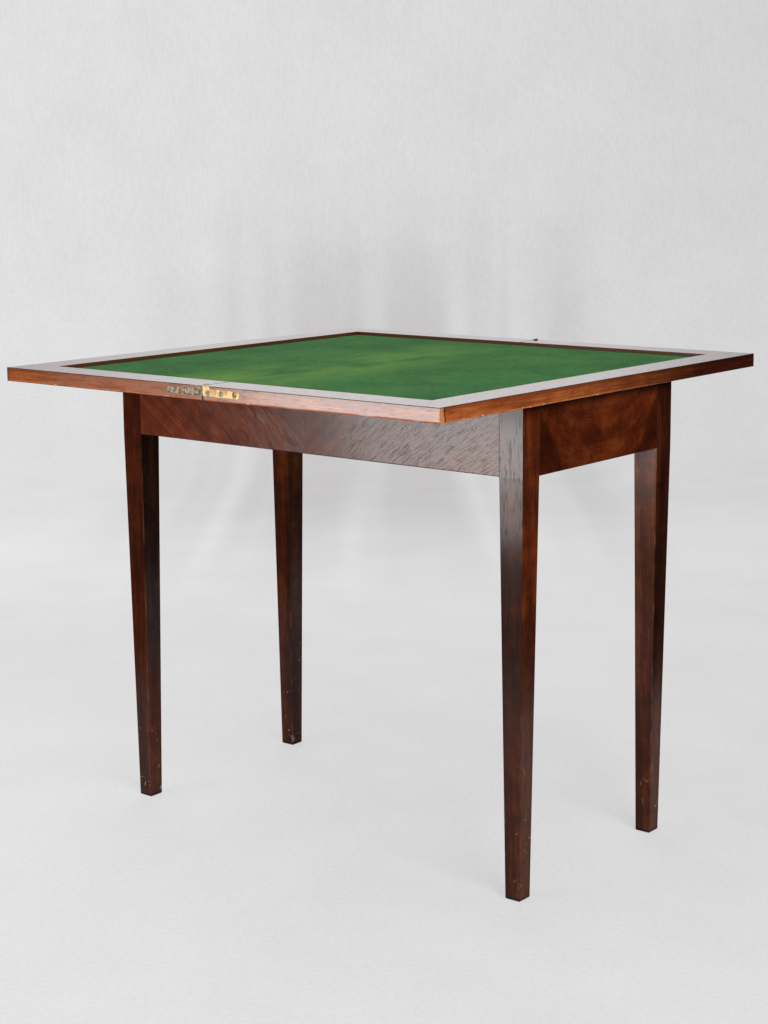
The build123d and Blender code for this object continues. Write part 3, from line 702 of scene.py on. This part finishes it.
baize = {
    # Its shape: rates are waves in a metre, and slices say where in the noise swell and ripples are read
    "step": 9 * millimetre, "foldZone": 2 * millimetre, "foldStep": 0.5 * millimetre,
    "underGap": 0.05 * millimetre, "inset": 0.15 * millimetre, "flatRim": 8 * millimetre,
    "flatFold": 10 * millimetre, "swell": 0.18 * millimetre, "swellRate": 9, "swellSlice": 0.3,
    "rippleHeight": 0.5 * millimetre, "rippleRate": (30, 12), "rippleReach": (0.16, 0.12), "rippleSlice": 4.1,
    # Its cloth: clouds, nap and fibres, a paler band beside the fold, and specks
    "deep": (0.021, 0.080, 0.026), "fresh": (0.048, 0.152, 0.042), "shade": (0.32, 0.66),
    "clouds": (0.11, 0.0, 4.0, 0.6), "cloudShare": 0.45, "nap": (0.009, 0.0, 4.0, 0.7), "napShare": 0.55,
    "worn": (0.130, 0.245, 0.045), "bandAt": -0.045, "bandReach": (0.17, 0.0), "bandFront": (0.42, 0.05),
    "bandCloud": ((0.08, 0.22, 0.08), (0.2, 0.1, 0.3), 4.0, 0.6), "bandEdge": (0.28, 0.66), "bandShow": 0.75,
    "speck": (0.015, 0.035, 0.015), "specks": (0.012, (0.5, 0.2, 0.1), 2.0), "speckEdge": (0.735, 0.76),
    "speckShow": 0.8, "fibre": (0.0011, 0.0, 2.0, 0.7), "fibreShade": (0.75, 1.25), "fibreBump": 0.5,
    "fibreHeight": 0.5 * millimetre, "roughness": 0.95, "specular": 0.05,
    "sheen": 0.03, "sheenRoughness": 0.5, "sheenTint": (0.45, 0.8, 0.4, 1),
}


def clothRows(half, step):
    count = round(2 * half / step)
    return [-half + 2 * half * index / count for index in range(count + 1)]


# Closer rows beside the fold, so that the cloth can turn there
def clothColumns(half):
    zone = baize["foldZone"]
    middle = clothRows(zone, baize["foldStep"])
    count = round((half - zone) / baize["step"])
    outside = [zone + (half - zone) * index / count for index in range(1, count + 1)]
    return [-x for x in reversed(outside)] + middle + outside


# Height of the cloth over its mean level: a slow swell, and small ripples at the front left corner
def clothSwell(x, y, half):
    rateX, rateY = baize["rippleRate"]
    reachX, reachY = baize["rippleReach"]
    slow = Vector((x * baize["swellRate"], y * baize["swellRate"], baize["swellSlice"]))
    swell = noise.noise(slow) * baize["swell"]
    quick = Vector((x * rateX, y * rateY, baize["rippleSlice"]))
    ripple = max(0.0, noise.noise(quick)) * baize["rippleHeight"]
    ripple *= max(0.0, 1 - (x + half) / reachX) * max(0.0, 1 - (y + half) / reachY)
    rim = min(1.0, (half - abs(x)) / baize["flatRim"], (half - abs(y)) / baize["flatRim"])
    return (swell + ripple) * rim * min(1.0, abs(x) / baize["flatFold"])


def makeCloth(name, low, high):
    half = fieldSide - baize["inset"]
    columns = clothColumns(half)
    rows = clothRows(half, baize["step"])
    upper = [(x, y, high + clothSwell(x, y, half)) for y in rows for x in columns]
    lower = [(x, y, low + baize["underGap"]) for y in rows for x in columns]
    width = len(columns)
    faces = []
    for row in range(len(rows) - 1):
        for column in range(width - 1):
            corner = row * width + column
            ring = (corner, corner + 1, corner + width + 1, corner + width)
            faces.append(ring)
            faces.append(tuple(index + len(upper) for index in reversed(ring)))
    rim = list(range(width)) + [row * width + width - 1 for row in range(1, len(rows))]
    rim += [len(upper) - 1 - column for column in range(1, width)]
    rim += [row * width for row in range(len(rows) - 2, 0, -1)]
    for start, end in zip(rim, rim[1:] + rim[:1]):
        faces.append((end, start, start + len(upper), end + len(upper)))
    mesh = bpy.data.meshes.new(name)
    mesh.from_pydata(upper + lower, [], faces)
    mesh.update()
    for polygon in mesh.polygons:
        polygon.use_smooth = abs(polygon.normal.z) > 0.5
    piece = bpy.data.objects.new(name, mesh)
    bpy.context.scene.collection.objects.link(piece)
    return piece


def baizeMaterial():
    material, tree, shader = startMaterial("greenBaize")
    place = objectPlace(tree)
    parts = splitPlace(tree, place)
    clouds = grainNoise(tree, place, *baize["clouds"])
    nap = grainNoise(tree, place, *baize["nap"])
    fibre = grainNoise(tree, place, *baize["fibre"])
    shade = calc(tree, "ADD", calc(tree, "MULTIPLY", clouds, baize["cloudShare"]),
                 calc(tree, "MULTIPLY", nap, baize["napShare"]))
    shade = fade(tree, shade, *baize["shade"])
    colour = mixColour(tree, shade, baize["deep"], baize["fresh"])
    # The paler band is weaker towards the back
    fromBand = calc(tree, "ABSOLUTE", calc(tree, "SUBTRACT", parts["X"], baize["bandAt"]))
    patchy = fade(tree, grainNoise(tree, place, *baize["bandCloud"]), *baize["bandEdge"])
    faded = product(tree, fade(tree, fromBand, *baize["bandReach"]),
                    fade(tree, parts["Y"], *baize["bandFront"]), patchy, baize["bandShow"])
    colour = mixColour(tree, faded, colour, baize["worn"])
    specks = fade(tree, grainNoise(tree, place, *baize["specks"]), *baize["speckEdge"])
    specks = calc(tree, "MULTIPLY", specks, baize["speckShow"])
    colour = mixColour(tree, specks, colour, baize["speck"])
    dapple = greyOf(tree, between(tree, fibre, *baize["fibreShade"]))
    feed(tree, shader.inputs["Base Color"], mixColour(tree, 1.0, colour, dapple, "MULTIPLY"))
    shader.inputs["Roughness"].default_value = baize["roughness"]
    shader.inputs["Specular IOR Level"].default_value = baize["specular"]
    shader.inputs["Sheen Weight"].default_value = baize["sheen"]
    shader.inputs["Sheen Roughness"].default_value = baize["sheenRoughness"]
    shader.inputs["Sheen Tint"].default_value = baize["sheenTint"]
    addBump(tree, shader, fibre, baize["fibreBump"], baize["fibreHeight"])
    return material


cloth = makeCloth("baizeCloth", clothLow.z, clothHigh.z)
cloth.data.materials.append(baizeMaterial())
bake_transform(cloth)
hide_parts("baize_fixed", "baize_folding")
print("baize laid")


# Stage: a pale floor, and a backdrop that curves up behind the table

# Both are turned with the camera: their own X runs across the picture, and their own Y away from the camera
studio = {
    "floorReach": 12.0, "backDistance": 3.9, "wallHeight": 3.6, "wallLeft": -2.05, "wallRight": 6.2,
    "bend": 0.7, "bendSteps": 64, "lift": 0.5 * millimetre,
    # The paper itself, with its mottle, weave and ripples
    "paper": (0.66, 0.66, 0.665), "mottle": (0.25, 0.0, 4.0, 0.6), "mottleShare": 0.12,
    "weave": ((0.008, 0.008, 0.024), 0.0, 3.0, 0.7), "weaveShare": 0.20, "grainBase": 0.84,
    "ripple": (0.06, 0.0, 4.0, 0.6), "rippleBump": 0.12, "rippleHeight": 2 * millimetre,
    "roughness": 0.9, "specular": 0.1,
    # What the camera sees of it, from left to right, with painted light that dims to the right, and painted
    # shade of the table and of drape folds behind the table
    "halfWidth": 1.87, "shown": (0.81, 0.81, 0.813), "shownRight": (0.70, 0.698, 0.700),
    "behind": (0.81, 0.795, 0.79), "behindTop": (1.109, 0.406), "behindSide": (1.053, 0.351),
    "behindDepth": (1.1, 2.9), "drape": ((0.234, 9.0, 3.5), (0.3, 0.7, 0.2), 2.0, 0.5),
    "drapeEdge": (0.30, 0.62),
    "floorGain": 1.05, "floorTop": (0.15, 0.02), "floorDepth": (2.9, 2.2),
    # What the polish sees of it, a painted reflection: palest in the middle, darker to the left, to the right
    # and low down
    "shownGloss": (0.84, 0.84, 0.86), "glossLeft": (0.60, 0.585, 0.60), "leftZone": (-0.585, -1.52),
    "glossRight": 0.30, "rightZone": (0.645, 1.46), "glossLow": 0.16, "lowZone": (1.237, 1.038),
    # How much of it glows, while the rest takes the table's shadow
    "floorShare": 0.71, "wallShare": 0.88, "shareZone": (0.9, 2.2), "farZone": (3.3, 6.0), "glossShare": 0.9,
    # Off the sheet, which is as wide as the picture, all rays but the camera's see a dim room
    "room": (0.03, 0.03, 0.03), "frontEdge": (-0.8, -1.1), "wedge": 0.2, "wedgeMargin": 0.40,
    "cameraBack": 2.97, "floorEdge": (0.0, 0.25), "wallEdge": (0.0, 0.03),
    # The dim world, and what the camera sees of it beyond the floor
    "worldAmbient": 0.06, "beyond": (0.68, 0.68, 0.683),
}
viewTurn = radians(photoCamera["yaw"])


# The paper as the camera sees it, with painted light and shade, and as the polish sees it, a painted
# reflection
def paperSeen(tree, place, parts, glossyRay):
    acrossPaper = fade(tree, parts["X"], -studio["halfWidth"], studio["halfWidth"])
    shown = mixColour(tree, acrossPaper, studio["shown"], studio["shownRight"])
    # Painted shadow of the table behind it, broken up into drape folds
    behind = product(tree, fade(tree, parts["Z"], *studio["behindTop"]),
                     fade(tree, calc(tree, "ABSOLUTE", parts["X"]), *studio["behindSide"]),
                     fade(tree, parts["Y"], *studio["behindDepth"]),
                     fade(tree, grainNoise(tree, place, *studio["drape"]), *studio["drapeEdge"]))
    shown = tinted(tree, behind, shown, studio["behind"])
    onFloor = product(tree, fade(tree, parts["Z"], *studio["floorTop"]),
                      fade(tree, parts["Y"], *studio["floorDepth"]))
    shown = tinted(tree, onFloor, shown, (studio["floorGain"],) * 3)
    # Painted reflection: what the polish sees darkens to the left, to the right and low down
    toLeft = fade(tree, parts["X"], *studio["leftZone"])
    gloss = mixColour(tree, toLeft, studio["shownGloss"], studio["glossLeft"])
    dim = calc(tree, "MULTIPLY", fade(tree, parts["X"], *studio["rightZone"]), studio["glossRight"])
    dim = calc(tree, "MULTIPLY_ADD", fade(tree, parts["Z"], *studio["lowZone"]), studio["glossLow"], dim)
    gloss = mixColour(tree, dim, gloss, (0.0, 0.0, 0.0))
    return mixColour(tree, glossyRay, shown, gloss)


# Paper: the camera and the polish see it near white, and it still takes the table's shadow
def paperMaterial(name, isFloor):
    material, tree, shader = startMaterial(name)
    place = objectPlace(tree)
    parts = splitPlace(tree, place)
    path = addNode(tree, "ShaderNodeLightPath").outputs
    weave = grainNoise(tree, place, *studio["weave"])
    mottle = grainNoise(tree, place, *studio["mottle"])
    bright = calc(tree, "MULTIPLY_ADD", weave, studio["weaveShare"], studio["grainBase"])
    bright = calc(tree, "MULTIPLY_ADD", mottle, studio["mottleShare"], bright)
    tint = greyOf(tree, bright)
    paper = mixColour(tree, 1.0, studio["paper"], tint, "MULTIPLY")
    shown = mixColour(tree, 1.0, paperSeen(tree, place, parts, path["Is Glossy Ray"]), tint, "MULTIPLY")
    away = calc(tree, "SQRT", calc(tree, "ADD", product(tree, parts["X"], parts["X"]),
                                   product(tree, parts["Y"], parts["Y"])))
    rising = fade(tree, parts["Y"], *studio["shareZone"])
    rising = calc(tree, "MAXIMUM", rising, fade(tree, away, *studio["farZone"]))
    share = between(tree, rising, studio["floorShare"], studio["wallShare"])
    share = calc(tree, "MULTIPLY", path["Is Camera Ray"], share)
    sideways = calc(tree, "ABSOLUTE", parts["X"])
    if isFloor:
        nearest = studio["wedge"] * studio["cameraBack"] + studio["wedgeMargin"]
        pictureHalf = calc(tree, "MULTIPLY_ADD", parts["Y"], studio["wedge"], nearest)
        aside = fade(tree, calc(tree, "SUBTRACT", sideways, pictureHalf), *studio["floorEdge"])
        offPaper = calc(tree, "MAXIMUM", aside, fade(tree, parts["Y"], *studio["frontEdge"]))
    else:
        offPaper = fade(tree, sideways, *studio["wallEdge"], studio["halfWidth"])
        glossy = calc(tree, "MULTIPLY", path["Is Glossy Ray"], studio["glossShare"])
        share = calc(tree, "MAXIMUM", share, glossy)
    unseen = calc(tree, "MULTIPLY", offPaper, inverse(tree, path["Is Camera Ray"]))
    shown = mixColour(tree, unseen, shown, (studio["worldAmbient"],) * 3)
    feed(tree, shader.inputs["Base Color"], mixColour(tree, unseen, paper, studio["room"]))
    shader.inputs["Roughness"].default_value = studio["roughness"]
    shader.inputs["Specular IOR Level"].default_value = studio["specular"]
    ripple = grainNoise(tree, place, *studio["ripple"])
    addBump(tree, shader, ripple, studio["rippleBump"], studio["rippleHeight"])
    glow = addNode(tree, "ShaderNodeEmission", {"Color": shown, "Strength": 1.0})
    mixed = addNode(tree, "ShaderNodeMixShader")
    for socket, value in zip(mixed.inputs, (share, shader.outputs[0], glow.outputs[0])):
        feed(tree, socket, value)
    feed(tree, tree.nodes["Material Output"].inputs["Surface"], mixed.outputs[0])
    return material


def makeStage(name, points, faces, material):
    mesh = bpy.data.meshes.new(name)
    mesh.from_pydata(points, [], faces)
    mesh.update()
    for polygon in mesh.polygons:
        polygon.use_smooth = True
    mesh.materials.append(material)
    piece = bpy.data.objects.new(name, mesh)
    piece.rotation_euler = (0, 0, viewTurn)
    bpy.context.scene.collection.objects.link(piece)


def makeFloor():
    reach = studio["floorReach"]
    points = [(-reach, -reach, 0), (reach, -reach, 0), (reach, reach, 0), (-reach, reach, 0)]
    makeStage("studioFloor", points, [(0, 1, 2, 3)], paperMaterial("floorPaper", True))


def makeBackdrop():
    back, bend, steps = studio["backDistance"], studio["bend"], studio["bendSteps"]
    profile = []
    for step in range(steps + 1):
        turned = Matrix.Rotation(pi / 2 * step / steps, 2) @ Vector((0, -bend))
        profile.append((back - bend + turned.x, bend + turned.y + studio["lift"]))
    profile.append((back, studio["wallHeight"]))
    points = [(x, y, z) for y, z in profile for x in (studio["wallLeft"], studio["wallRight"])]
    faces = [(2 * row, 2 * row + 1, 2 * row + 3, 2 * row + 2) for row in range(len(profile) - 1)]
    makeStage("studioBackdrop", points, faces, paperMaterial("backdropPaper", False))


makeFloor()
makeBackdrop()


# Lights: a tall softbox that the long side mirrors, a low strip at the front foot, and three fills

# Each has its place, the point that it looks at, its size and its watts
lamps = {
    "leftSoftbox": ((-1.35, -2.69, 0.85), (0.05, -0.2, 0.85), (1.05, 1.6), 30),
    "lowSoftbox": ((-0.714, -1.756, 0.19), (0.37, -0.2, 0.19), (0.8, 0.17), 1.1),
    "rightFill": ((3.3, -1.6, 2.5), (0, 0, 0.5), (2.2, 1.8), 140),
    "topSoftbox": ((-0.4, -0.4, 3.0), (-0.1, 0.1, 0), (3.0, 3.0), 42),
    "backFill": ((-1.7, 1.5, 2.3), (0, 0, 0.6), (1.4, 1.2), 22),
}


def makeLamp(name, place, aim, size, watts):
    data = bpy.data.lights.new(name, "AREA")
    data.shape = "RECTANGLE"
    data.size, data.size_y = size
    data.energy = watts
    lamp = bpy.data.objects.new(name, data)
    lamp.location = place
    lamp.rotation_euler = (Vector(aim) - lamp.location).to_track_quat("-Z", "Y").to_euler()
    lamp.visible_camera = False
    bpy.context.scene.collection.objects.link(lamp)


for lampName, lampSettings in lamps.items():
    makeLamp(lampName, *lampSettings)


def makeWorld():
    world = bpy.data.worlds.new("dimRoom")
    bpy.context.scene.world = world
    world.use_nodes = True
    tree = world.node_tree
    seen = addNode(tree, "ShaderNodeLightPath").outputs["Is Camera Ray"]
    colour = mixColour(tree, seen, (studio["worldAmbient"],) * 3, studio["beyond"])
    feed(tree, tree.nodes["Background"].inputs["Color"], colour)


makeWorld()
bpy.context.scene.view_settings.view_transform = "Standard"
print("stage and lights set")
